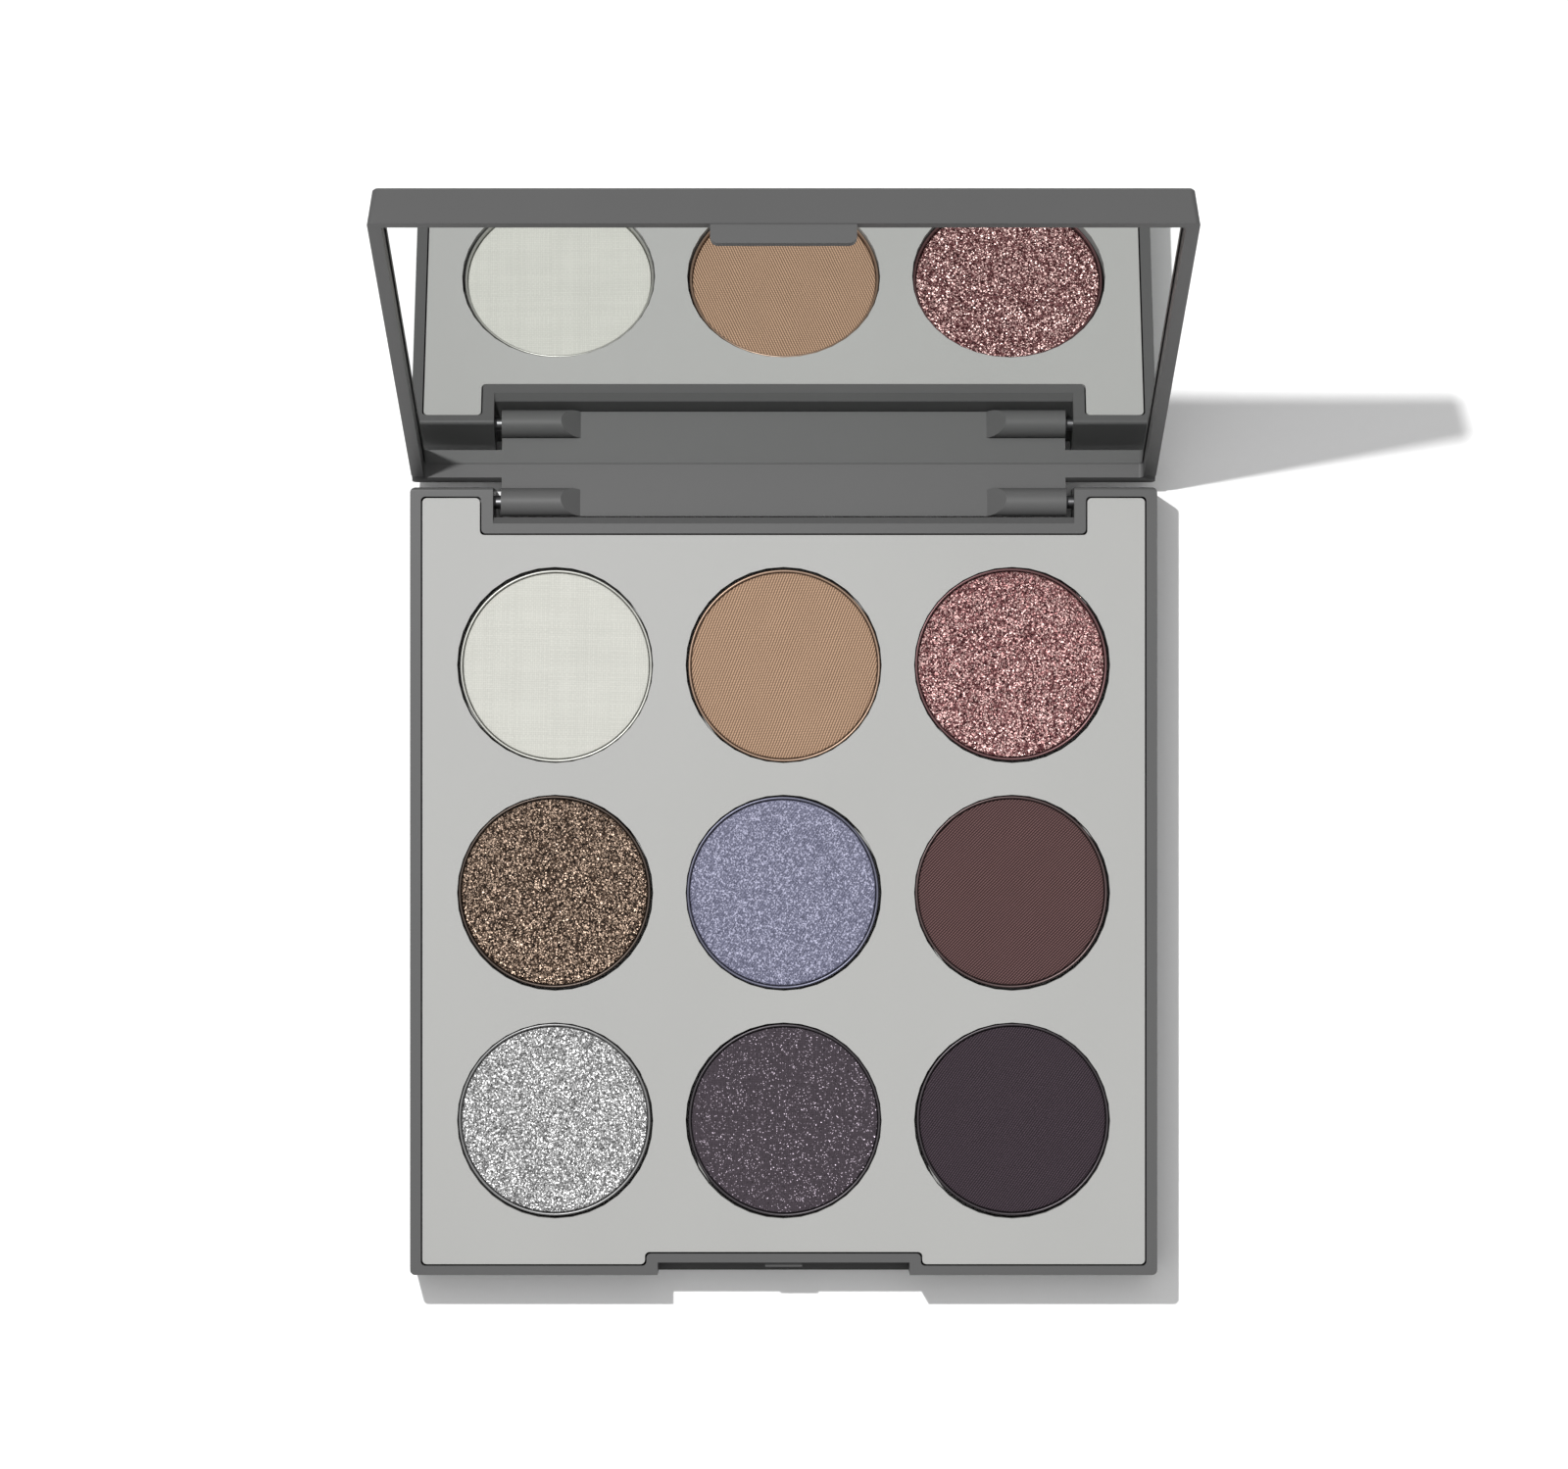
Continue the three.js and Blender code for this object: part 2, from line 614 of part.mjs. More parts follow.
const caseGrey = finish(0x6e6f70, 0.42);
const trayGrey = finish(0xc0c2bf, 0.4);
const tinPlate = finish(0xc8c8c6, 0.3, 1);
const steel = finish(0xb4b4b4, 0.3, 1);
const silvering = finish(0xe8e9ea, 0.03, 1);
const glue = finish(0xe6e1d2, 0.7);
const paper = finish(0xe9e9e6, 0.6);
const powderFinishes = [
  finish(0xdbdbd3, 0.9),
  finish(0xab8c75, 0.9),
  finish(0x9b7572, 0.5, 0.4),
  finish(0x786555, 0.5, 0.4),
  finish(0x8a8b9f, 0.7, 0.1),
  finish(0x5e4746, 0.9),
  finish(0xb2b2b2, 0.45, 0.5),
  finish(0x534a51, 0.6, 0.2),
  finish(0x42383f, 0.9),
];

// ---------- assembly ----------

function named(name, solid, material) {
  const mesh = new THREE.Mesh(geometryOf(solid), material);
  mesh.name = name;
  return mesh;
}

const base = new THREE.Group();
base.add(named("base_shell", baseShell(), caseGrey));
base.add(named("pan_tray", panTray(), trayGrey));
base.add(named("hinge_pin_left", hingePin(-1), steel));
base.add(named("hinge_pin_right", hingePin(1), steel));
base.add(named("base_label", baseLabel(), paper));

wellPlaces().forEach(([x, y], index) => {
  const [leanX, leanY] = PAN_LEAN[index % PAN_LEAN.length];
  const cell = new THREE.Group();
  cell.position.set(x + (leanX * PAN_CLEARANCE) / 2, y + (leanY * PAN_CLEARANCE) / 2, panUnder);
  cell.add(named("powder_pan_" + (index + 1), powderPan(), tinPlate));
  cell.add(named("pressed_powder_" + (index + 1), pressedPowder(), powderFinishes[index % powderFinishes.length]));
  cell.add(named("pan_adhesive_" + (index + 1), panAdhesive(), glue));
  base.add(cell);
});

// The lid's meshes are placed from the hinge's axis, and the group turns about it.
const lid = new THREE.Group();
lid.position.set(0, pinY, pinZ);
lid.rotation.x = -THREE.MathUtils.degToRad(OPEN_ANGLE);
const lidPieces = [
  named("lid_shell", lidShell(), caseGrey),
  named("mirror", mirrorGlass(), silvering),
  named("mirror_adhesive", mirrorSheet(), glue),
];
for (const piece of lidPieces) {
  piece.position.set(0, -pinY, -pinZ);
  lid.add(piece);
}

const palette = new THREE.Group();
palette.add(base, lid);

export default palette;
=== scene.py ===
"""Looks of a square eyeshadow palette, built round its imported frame.

The palette has a shallow case with nine round pans of pressed powder in a
pale tray, and a hinged lid that holds a mirror. Each sub-assembly is a class
that builds and dresses its own pieces. Lengths are in metres.
"""

from __future__ import annotations

import logging
import math
from dataclasses import dataclass, replace
from enum import Enum
from typing import Callable, Sequence

import bmesh
import bpy
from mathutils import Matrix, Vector, noise

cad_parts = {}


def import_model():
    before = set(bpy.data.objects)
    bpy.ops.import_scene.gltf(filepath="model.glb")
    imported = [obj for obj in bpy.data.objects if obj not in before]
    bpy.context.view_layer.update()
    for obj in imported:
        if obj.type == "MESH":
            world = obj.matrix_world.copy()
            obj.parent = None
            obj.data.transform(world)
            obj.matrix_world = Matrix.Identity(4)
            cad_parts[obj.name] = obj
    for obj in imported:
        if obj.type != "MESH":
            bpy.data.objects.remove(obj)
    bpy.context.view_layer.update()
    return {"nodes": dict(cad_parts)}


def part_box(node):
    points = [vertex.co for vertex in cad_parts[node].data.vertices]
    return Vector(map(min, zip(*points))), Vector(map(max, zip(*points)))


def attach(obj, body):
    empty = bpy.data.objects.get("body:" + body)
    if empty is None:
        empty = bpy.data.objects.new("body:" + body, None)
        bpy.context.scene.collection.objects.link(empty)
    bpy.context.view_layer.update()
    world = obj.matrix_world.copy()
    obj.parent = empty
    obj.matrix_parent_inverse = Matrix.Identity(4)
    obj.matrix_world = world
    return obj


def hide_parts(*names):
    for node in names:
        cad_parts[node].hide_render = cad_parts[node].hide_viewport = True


LOG = logging.getLogger("palette")
MM = 0.001
CREASE = 35.0  # angle in degrees past which an edge stays sharp
WELD = 0.002 * MM  # points nearer than this are one
FLAT = 0.6  # angle in degrees under which two facets are one flat face
LAMP_UNIT = 0.0765  # radiance that a lamp of 1 W and constant falloff gives at strength 1
Colour = tuple[float, float, float]


# ---------------------------------------------------------------------------
# Shader building
# ---------------------------------------------------------------------------


class Graph:
    """A node tree with short calls for adding and joining nodes."""

    def __init__(self, tree: bpy.types.NodeTree) -> None:
        """Wraps a tree.

        Args:
            tree: The node tree to fill.
        """
        self.tree = tree

    def add(self, kind: str, **values: object) -> bpy.types.Node:
        """Adds a node.

        Args:
            kind: The node's type name without the leading ShaderNode.
            values: Properties of the node to set.

        Returns:
            The new node.
        """
        node = self.tree.nodes.new("ShaderNode" + kind)
        for key, value in values.items():
            setattr(node, key, value)
        return node

    def put(self, value: object, socket: bpy.types.NodeSocket) -> None:
        """Sends a constant or another node's output into a socket.

        Args:
            value: A number, a colour, a vector or an output socket.
            socket: The input that takes it.
        """
        if isinstance(value, bpy.types.NodeSocket):
            self.tree.links.new(value, socket)
        elif isinstance(value, tuple) and socket.type == "RGBA":
            socket.default_value = (*value[:3], 1.0)
        else:
            socket.default_value = value

    def math(self, operation: str, *values: object, clamp: bool = False) -> bpy.types.NodeSocket:
        """Adds a Math node.

        Args:
            operation: The Math node's operation.
            values: Its one to three operands.
            clamp: True to keep the result between 0 and 1.

        Returns:
            The result's socket.
        """
        node = self.add("Math", operation=operation, use_clamp=clamp)
        for value, socket in zip(values, node.inputs):
            self.put(value, socket)
        return node.outputs[0]

    def vector(self, operation: str, *values: object) -> bpy.types.NodeSocket:
        """Adds a Vector Math node.

        Args:
            operation: The Vector Math node's operation.
            values: Its operands, where a lone number is a scale.

        Returns:
            The result's vector socket.
        """
        node = self.add("VectorMath", operation=operation)
        places = [node.inputs[0], node.inputs["Scale"] if operation == "SCALE" else node.inputs[1]]
        for value, socket in zip(values, places):
            self.put(value, socket)
        return node.outputs[0]

    def mix(
        self, factor: object, first: object, second: object, blend: str = "MIX"
    ) -> bpy.types.NodeSocket:
        """Mixes two colours.

        Args:
            factor: How much of the second shows, 0 to 1.
            first: The first colour.
            second: The second colour.
            blend: The blend type.

        Returns:
            The mixed colour's socket.
        """
        node = self.add("Mix", data_type="RGBA", blend_type=blend)
        self.put(factor, node.inputs["Factor"])
        self.put(first, node.inputs[6])
        self.put(second, node.inputs[7])
        return node.outputs[2]

    def noise(self, vector: object, scale: object, detail: float = 2.0) -> bpy.types.NodeSocket:
        """Adds a noise texture.

        Args:
            vector: Where it is read.
            scale: Its scale, in features a metre.
            detail: Its octaves.

        Returns:
            The noise value's socket.
        """
        node = self.add("TexNoise")
        self.put(vector, node.inputs["Vector"])
        self.put(scale, node.inputs["Scale"])
        self.put(detail, node.inputs["Detail"])
        return node.outputs["Fac"]

    def ramp(self, value: object, stops: Sequence[tuple[float, Colour]]) -> bpy.types.NodeSocket:
        """Turns a value into a colour.

        Args:
            value: A value from 0 to 1.
            stops: Places and colours, in rising order.

        Returns:
            The colour's socket.
        """
        node = self.add("ValToRGB")
        band = node.color_ramp
        while len(band.elements) < len(stops):
            band.elements.new(0.5)
        for element, (place, colour) in zip(band.elements, stops):
            element.position = place
            element.color = (*colour, 1.0)
        self.put(value, node.inputs["Fac"])
        return node.outputs["Color"]

    def bump(
        self, height: object, distance: float, strength: float, normal: object = None
    ) -> bpy.types.NodeSocket:
        """Adds a Bump node.

        Args:
            height: The height's socket, 0 to 1.
            distance: What a height of 1 stands for.
            strength: How strongly it shows, 0 to 1.
            normal: A normal to bend further, or None.

        Returns:
            The bent normal's socket.
        """
        node = self.add("Bump")
        node.inputs["Distance"].default_value = distance
        node.inputs["Strength"].default_value = strength
        self.put(height, node.inputs["Height"])
        if normal is not None:
            self.put(normal, node.inputs["Normal"])
        return node.outputs["Normal"]

    def use(self, group: bpy.types.NodeTree, **values: object) -> bpy.types.Node:
        """Places a node group.

        Args:
            group: The group's tree.
            values: Its inputs, with _ in place of spaces.

        Returns:
            The group's node.
        """
        node = self.add("Group", node_tree=group)
        for key, value in values.items():
            self.put(value, node.inputs[key.replace("_", " ")])
        return node


class EffectGroups:
    """The node groups that more than one material shares, each made on first use."""

    def __init__(self) -> None:
        """Starts with no group made."""
        self._made: dict[str, bpy.types.NodeTree] = {}

    def _group(
        self,
        name: str,
        inputs: Sequence[tuple[str, str, float]],
        outputs: Sequence[tuple[str, str]],
        fill: Callable[[Graph, bpy.types.Node, bpy.types.Node], None],
    ) -> bpy.types.NodeTree:
        """Makes a group once and keeps it.

        Args:
            name: The group's name.
            inputs: Name, socket type and default of each input.
            outputs: Name and socket type of each output.
            fill: Adds the nodes between the group's input and output nodes.

        Returns:
            The group's tree.
        """
        if name not in self._made:
            tree = bpy.data.node_groups.new(name, "ShaderNodeTree")
            for label, kind, default in inputs:
                socket = tree.interface.new_socket(label, in_out="INPUT", socket_type="NodeSocket" + kind)
                if kind == "Float":
                    socket.default_value = default
            for label, kind in outputs:
                tree.interface.new_socket(label, in_out="OUTPUT", socket_type="NodeSocket" + kind)
            start = tree.nodes.new("NodeGroupInput")
            end = tree.nodes.new("NodeGroupOutput")
            fill(Graph(tree), start, end)
            self._made[name] = tree
        return self._made[name]

    def moulded_grain(self) -> bpy.types.NodeTree:
        """Fine spark-eroded grain of moulded plastic, with faint flow marks.

        Returns:
            A group with inputs Vector and Grain Size and outputs Height and Flow.
        """

        def fill(g: Graph, start: bpy.types.Node, end: bpy.types.Node) -> None:
            scale = g.math("DIVIDE", 1.0, start.outputs["Grain Size"])
            grain = g.noise(start.outputs["Vector"], scale, 2.0)
            coarse = g.noise(start.outputs["Vector"], g.math("MULTIPLY", scale, 0.3), 2.0)
            height = g.math("ADD", g.math("MULTIPLY", grain, 0.7), g.math("MULTIPLY", coarse, 0.3))
            stretched = g.vector("MULTIPLY", start.outputs["Vector"], (1.0, 0.35, 0.35))
            flow = g.noise(stretched, 55.0, 3.0)
            g.put(height, end.inputs["Height"])
            g.put(flow, end.inputs["Flow"])

        return self._group(
            "moulded_grain",
            [("Vector", "Vector", 0.0), ("Grain Size", "Float", 0.00008)],
            [("Height", "Float"), ("Flow", "Float")],
            fill,
        )

    def cloth_imprint(self) -> bpy.types.NodeTree:
        """The weave that the pressing cloth leaves in a powder's face.

        Ribs 0 gives a plain weave of crossing threads of uneven strength and
        Ribs 1 a twill with slanting ribs.

        Returns:
            A group with inputs Vector, Pitch and Ribs and output Height.
        """

        def fill(g: Graph, start: bpy.types.Node, end: bpy.types.Node) -> None:
            wander = g.add("TexNoise")
            g.put(start.outputs["Vector"], wander.inputs["Vector"])
            wander.inputs["Scale"].default_value = 260.0
            drift = g.vector("SUBTRACT", wander.outputs["Color"], (0.5, 0.5, 0.5))
            shift = g.vector("SCALE", drift, 0.16 * MM)
            place = g.add("SeparateXYZ")
            g.put(g.vector("ADD", start.outputs["Vector"], shift), place.inputs[0])
            warp = g.math("DIVIDE", place.outputs["X"], start.outputs["Pitch"])
            weft = g.math("DIVIDE", place.outputs["Y"], start.outputs["Pitch"])
            threads = []
            for count in (warp, weft):
                round_top = g.math("ABSOLUTE", g.math("SINE", g.math("MULTIPLY", count, math.pi)))
                own = g.add("TexWhiteNoise", noise_dimensions="1D")
                g.put(g.math("FLOOR", count), own.inputs["W"])
                threads.append((round_top, own.outputs["Value"]))
            square = g.math("ADD", g.math("FLOOR", warp), g.math("FLOOR", weft))
            crossing = g.math("FLOORED_MODULO", square, 2.0)
            over = g.math("LESS_THAN", crossing, 0.5)
            rounded = g.mix(over, threads[0][0], threads[1][0])
            strength = g.mix(over, threads[0][1], threads[1][1])
            plain = g.math("MULTIPLY_ADD", strength, 0.3, g.math("MULTIPLY", rounded, 0.7))
            slant = g.math("MULTIPLY_ADD", weft, -0.42, g.math("MULTIPLY", warp, 0.91))
            rib = g.math("MULTIPLY_ADD", g.math("SINE", g.math("MULTIPLY", slant, 2.0 * math.pi)), 0.5, 0.5)
            beaded = g.math("MULTIPLY", rib, g.math("MULTIPLY_ADD", threads[1][0], 0.5, 0.5))
            g.put(g.mix(start.outputs["Ribs"], plain, beaded), end.inputs["Height"])

        return self._group(
            "cloth_imprint",
            [("Vector", "Vector", 0.0), ("Pitch", "Float", 0.0003), ("Ribs", "Float", 0.0)],
            [("Height", "Float")],
            fill,
        )

    def flakes(self) -> bpy.types.NodeTree:
        """Flat flakes pressed into a face, each with its own tilt and shade.

        Returns:
            A group with inputs Vector, Size, Coverage and Tilt and outputs Mask, Shade and Normal.
        """

        def fill(g: Graph, start: bpy.types.Node, end: bpy.types.Node) -> None:
            cells = g.add("TexVoronoi")
            g.put(start.outputs["Vector"], cells.inputs["Vector"])
            g.put(g.math("DIVIDE", 1.0, start.outputs["Size"]), cells.inputs["Scale"])
            parts = g.add("SeparateColor")
            g.put(cells.outputs["Color"], parts.inputs[0])
            mask = g.math("LESS_THAN", parts.outputs[0], start.outputs["Coverage"])
            lean = g.vector("SUBTRACT", cells.outputs["Color"], (0.5, 0.5, 0.5))
            lean = g.vector("SCALE", lean, g.math("MULTIPLY", start.outputs["Tilt"], mask))
            facing = g.add("NewGeometry").outputs["Normal"]
            g.put(mask, end.inputs["Mask"])
            g.put(parts.outputs[1], end.inputs["Shade"])
            g.put(g.vector("NORMALIZE", g.vector("ADD", facing, lean)), end.inputs["Normal"])

        return self._group(
            "flakes",
            [
                ("Vector", "Vector", 0.0),
                ("Size", "Float", 0.0002),
                ("Coverage", "Float", 0.5),
                ("Tilt", "Float", 0.6),
            ],
            [("Mask", "Float"), ("Shade", "Float"), ("Normal", "Vector")],
            fill,
        )


GROUPS = EffectGroups()


def blank_material(name: str) -> tuple[bpy.types.Material, Graph, bpy.types.Node, bpy.types.NodeSocket]:
    """Makes a material with one Principled shader.

    Args:
        name: The material's name.

    Returns:
        The material, its graph, the shader and the Object coordinates.
    """
    material = bpy.data.materials.new(name)
    material.use_nodes = True
    material.node_tree.nodes.clear()
    graph = Graph(material.node_tree)
    shader = graph.add("BsdfPrincipled")
    out = graph.add("OutputMaterial")
    graph.put(shader.outputs[0], out.inputs["Surface"])
    place = graph.add("TexCoord").outputs["Object"]
    return material, graph, shader, place


# ---------------------------------------------------------------------------
# Finishes
# ---------------------------------------------------------------------------


@dataclass(frozen=True)
class MouldedPlastic:
    """A satin moulded plastic.

    Attributes:
        name: The material's name.
        colour: Its linear colour.
        roughness: Its mean roughness.
        grain: Size of the mould's grain.
        relief: Depth of that grain.
        shine: Strength of its highlight, where 0.5 is that of glass.
    """

    name: str
    colour: Colour
    roughness: float
    grain: float = 0.09 * MM
    relief: float = 0.0035 * MM
    shine: float = 0.2

    def material(self) -> bpy.types.Material:
        """Makes the material.

        Returns:
            The new material.
        """
        material, g, shader, place = blank_material(self.name)
        grain = g.use(GROUPS.moulded_grain(), Vector=place, Grain_Size=self.grain)
        dark = tuple(0.965 * c for c in self.colour)
        pale = tuple(1.035 * c for c in self.colour)
        g.put(g.mix(grain.outputs["Flow"], dark, pale), shader.inputs["Base Color"])
        rough = g.math("MULTIPLY_ADD", grain.outputs["Flow"], 0.10, self.roughness - 0.05)
        g.put(rough, shader.inputs["Roughness"])
        shader.inputs["IOR"].default_value = 1.5
        shader.inputs["Specular IOR Level"].default_value = self.shine
        g.put(g.bump(grain.outputs["Height"], self.relief, 0.6), shader.inputs["Normal"])
        return material


@dataclass(frozen=True)
class SheetMetal:
    """A thin drawn or ground metal.

    Attributes:
        name: The material's name.
        colour: Its linear colour.
        roughness: Its mean roughness.
        lines: Stretch of the drawing lines along Z.
        metal: Its metallic value, lower where powder dulls it.
    """

    name: str
    colour: Colour
    roughness: float
    lines: float = 12.0
    metal: float = 1.0

    def powder_tint_and_shade(self, powder: Powder) -> SheetMetal:
        """Makes the metal's finish with its colour taken mostly from a pan's powder, so that rims beside
        dark powders are painted dark, partly as painted shade round the pan.

        Args:
            powder: The powder.

        Returns:
            The tinted finish.
        """
        # Painted: the rim's colour is mostly the powder's colour, which darkens rims beside dark powders,
        # partly as painted shade.
        tint = tuple(0.10 * own + 0.85 * c for own, c in zip(self.colour, powder.colour))
        return replace(self, name=f"{self.name}_{powder.name}", colour=tint)

    def material(self) -> bpy.types.Material:
        """Makes the material.

        Returns:
            The new material.
        """
        material, g, shader, place = blank_material(self.name)
        drawn = g.vector("MULTIPLY", place, (1.0, 1.0, self.lines))
        scratches = g.noise(drawn, 3500.0, 3.0)
        dark = tuple(0.86 * c for c in self.colour)
        g.put(g.mix(scratches, dark, self.colour), shader.inputs["Base Color"])
        g.put(g.math("MULTIPLY_ADD", scratches, 0.16, self.roughness - 0.08), shader.inputs["Roughness"])
        shader.inputs["Metallic"].default_value = self.metal
        g.put(g.bump(scratches, 0.004 * MM, 0.5), shader.inputs["Normal"])
        return material


@dataclass(frozen=True)
class Silvering:
    """A flat silvered mirror with a trace of haze."""

    name: str = "silvered_mirror"
    colour: Colour = (0.875, 0.89, 0.88)

    def material(self) -> bpy.types.Material:
        """Makes the material.

        Returns:
            The new material.
        """
        material, g, shader, place = blank_material(self.name)
        haze = g.noise(place, 90.0, 4.0)
        pale = tuple(0.985 * c for c in self.colour)
        g.put(g.mix(haze, pale, self.colour), shader.inputs["Base Color"])
        g.put(g.math("MULTIPLY", haze, 0.012), shader.inputs["Roughness"])
        shader.inputs["Metallic"].default_value = 1.0
        return material


@dataclass(frozen=True)
class SoftSheet:
    """A matt sheet such as paper or cured adhesive."""

    name: str
    colour: Colour
    fibre: float
    roughness: float

    def material(self) -> bpy.types.Material:
        """Makes the material.

        Returns:
            The new material.
        """
        material, g, shader, place = blank_material(self.name)
        fibres = g.noise(g.vector("MULTIPLY", place, (1.0, 2.2, 1.0)), 1.0 / self.fibre, 5.0)
        dark = tuple(0.9 * c for c in self.colour)
        g.put(g.mix(fibres, dark, self.colour), shader.inputs["Base Color"])
        g.put(g.math("MULTIPLY_ADD", fibres, 0.15, self.roughness), shader.inputs["Roughness"])
        g.put(g.bump(fibres, 0.02 * MM, 0.5), shader.inputs["Normal"])
        return material


class Weave(Enum):
    """The pressing cloth's weave, as how far its ribs replace its plain threads."""

    PLAIN = 0.0
    TWILL = 1.0


@dataclass(frozen=True)
class Powder:
    """A pressed powder with a cloth imprint, bumped and also painted into its colour as light and shade.

    Attributes:
        name: The material's name.
        colour: Linear colour of the powder.
        weave: Weave of the pressing cloth.
        imprint: Depth of its imprint.
        contrast: How far the imprint's ridges are painted lighter and its hollows darker than the mean
            shade, as painted light and shade.
        angle: How far the cloth is turned, in degrees.
        pitch: Spacing of its threads or ribs.
        dustiness: How far the loose grain differs from the mean shade.
    """

    name: str
    colour: Colour
    weave: Weave = Weave.PLAIN
    imprint: float = 0.02 * MM
    contrast: float = 0.06
    angle: float = 2.0
    pitch: float = 0.30 * MM
    dustiness: float = 0.25

    def _face(
        self, g: Graph, place: bpy.types.NodeSocket
    ) -> tuple[bpy.types.NodeSocket, bpy.types.NodeSocket]:
        """Adds the powder's colour, with the imprint's light and shade painted in, and its height.

        Args:
            g: The material's graph.
            place: Object coordinates.

        Returns:
            The colour's socket and the height's socket.
        """
        turned = g.add("Mapping")
        turned.inputs["Rotation"].default_value[2] = math.radians(self.angle)
        g.put(place, turned.inputs["Vector"])
        cloth = g.use(
            GROUPS.cloth_imprint(),
            Vector=turned.outputs[0],
            Pitch=self.pitch,
            Ribs=self.weave.value,
        )
        dust = g.noise(place, 5200.0, 3.0)
        patches = g.noise(place, 210.0, 3.0)
        # Painted light and shade: the imprint's ridges are painted lighter and its hollows darker.
        imprint_painted_shade = g.math("MULTIPLY_ADD", cloth.outputs["Height"], 2.0 * self.contrast, 1.0 - self.contrast)
        grainy = g.math("MULTIPLY_ADD", dust, 2.0 * self.dustiness, 1.0 - self.dustiness)
        blotchy = g.math("MULTIPLY_ADD", patches, 0.10, 0.95)
        shade = g.math("MULTIPLY", g.math("MULTIPLY", imprint_painted_shade, grainy), blotchy)
        colour = g.vector("SCALE", self.colour, shade)
        height = g.math("MULTIPLY_ADD", dust, 0.3, g.math("MULTIPLY", cloth.outputs["Height"], 0.7))
        return colour, height

    def material(self) -> bpy.types.Material:
        """Makes the material.

        Returns:
            The new material.
        """
        material, g, shader, place = blank_material(self.name)
        colour, height = self._face(g, place)
        g.put(colour, shader.inputs["Base Color"])
        shader.inputs["Roughness"].default_value = 0.92
        shader.inputs["Specular IOR Level"].default_value = 0.2
        g.put(g.bump(height, self.imprint, 0.8), shader.inputs["Normal"])
        return material


@dataclass(frozen=True)
class FlakedPowder(Powder):
    """A powder with flakes in it: shimmer when they are small, glitter when large, with the glints partly
    painted into the flakes' colours.

    Attributes:
        flake: Size of the flakes.
        coverage: Share of the face that flakes cover.
        tilt: How far the flakes lean, as a slope.
        stops: Flake colours from the dullest to the brightest, whose spread paints glints on some flakes
            and dark unlit faces on others.
        gloss: Roughness of a flake.
        metal: Metallic value of a flake.
    """

    flake: float = 0.25 * MM
    coverage: float = 0.8
    tilt: float = 0.9
    stops: tuple[tuple[float, Colour], ...] = ((0.0, (0.1, 0.1, 0.1)), (1.0, (1.0, 1.0, 1.0)))
    gloss: float = 0.35
    metal: float = 0.5

    def material(self) -> bpy.types.Material:
        """Makes the material.

        Returns:
            The new material.
        """
        material, g, shader, place = blank_material(self.name)
        colour, height = self._face(g, place)
        wander = g.add("TexNoise")
        g.put(place, wander.inputs["Vector"])
        wander.inputs["Scale"].default_value = 1.6 / self.flake
        wander.inputs["Detail"].default_value = 2.0
        drift = g.vector("SUBTRACT", wander.outputs["Color"], (0.5, 0.5, 0.5))
        bent = g.vector("ADD", place, g.vector("SCALE", drift, 1.4 * self.flake))
        coarse = g.use(
            GROUPS.flakes(),
            Vector=bent,
            Size=self.flake,
            Coverage=self.coverage,
            Tilt=self.tilt,
        )
        fine = g.use(GROUPS.flakes(), Vector=bent, Size=0.45 * self.flake)
        # Painted glints: each flake's random shade picks a colour from near black to near white, on top of
        # the real shine of its tilted face.
        large_shade = g.math("MULTIPLY", coarse.outputs["Shade"], 0.75)
        shade = g.math("MULTIPLY_ADD", fine.outputs["Shade"], 0.25, large_shade)
        flakes = g.ramp(shade, self.stops)
        g.put(g.mix(coarse.outputs["Mask"], colour, flakes), shader.inputs["Base Color"])
        rough = g.math("MULTIPLY_ADD", coarse.outputs["Mask"], self.gloss - 0.9, 0.9)
        g.put(rough, shader.inputs["Roughness"])
        g.put(g.math("MULTIPLY", coarse.outputs["Mask"], self.metal), shader.inputs["Metallic"])
        g.put(g.bump(height, self.imprint, 0.5, coarse.outputs["Normal"]), shader.inputs["Normal"])
        return material


# ---------------------------------------------------------------------------
# Mesh building
# ---------------------------------------------------------------------------


def finish_mesh(shape: bmesh.types.BMesh, name: str, crease: float = CREASE) -> bpy.types.Object:
    """Turns a bmesh into an object in the scene.

    Args:
        shape: The finished bmesh, which is freed.
        name: The object's name.
        crease: Angle in degrees past which an edge stays sharp.

    Returns:
        The new object.
    """
    mesh = bpy.data.meshes.new(name)
    shape.to_mesh(mesh)
    shape.free()
    for face in mesh.polygons:
        face.use_smooth = True
    mesh.set_sharp_from_angle(angle=math.radians(crease))
    piece = bpy.data.objects.new(name, mesh)
    bpy.context.scene.collection.objects.link(piece)
    weighted = piece.modifiers.new("flat faces stay flat", "WEIGHTED_NORMAL")
    weighted.mode = "FACE_AREA"
    weighted.weight = 100
    weighted.keep_sharp = True
    return piece


def softened_copy(
    source: bpy.types.Object, name: str, width: float, segments: int = 3, turn: float = 28.0
) -> bpy.types.Object:
    """Copies a frame node and rounds its edges.

    Args:
        source: The frame node's object.
        name: The copy's name.
        width: Width of the rounding.
        segments: Facets across the rounding.
        turn: Angle in degrees past which an edge is rounded.

    Returns:
        The copy.
    """
    shape = bmesh.new()
    shape.from_mesh(source.data)
    bmesh.ops.remove_doubles(shape, verts=shape.verts, dist=WELD)
    bmesh.ops.dissolve_limit(shape, angle_limit=math.radians(FLAT), verts=shape.verts, edges=shape.edges)
    edges = [e for e in shape.edges if e.is_manifold and e.calc_face_angle() > math.radians(turn)]
    bmesh.ops.bevel(
        shape,
        geom=edges,
        offset=width,
        offset_type="OFFSET",
        segments=segments,
        profile=0.5,
        affect="EDGES",
        clamp_overlap=True,
        material=-1,
    )
    return finish_mesh(shape, name)


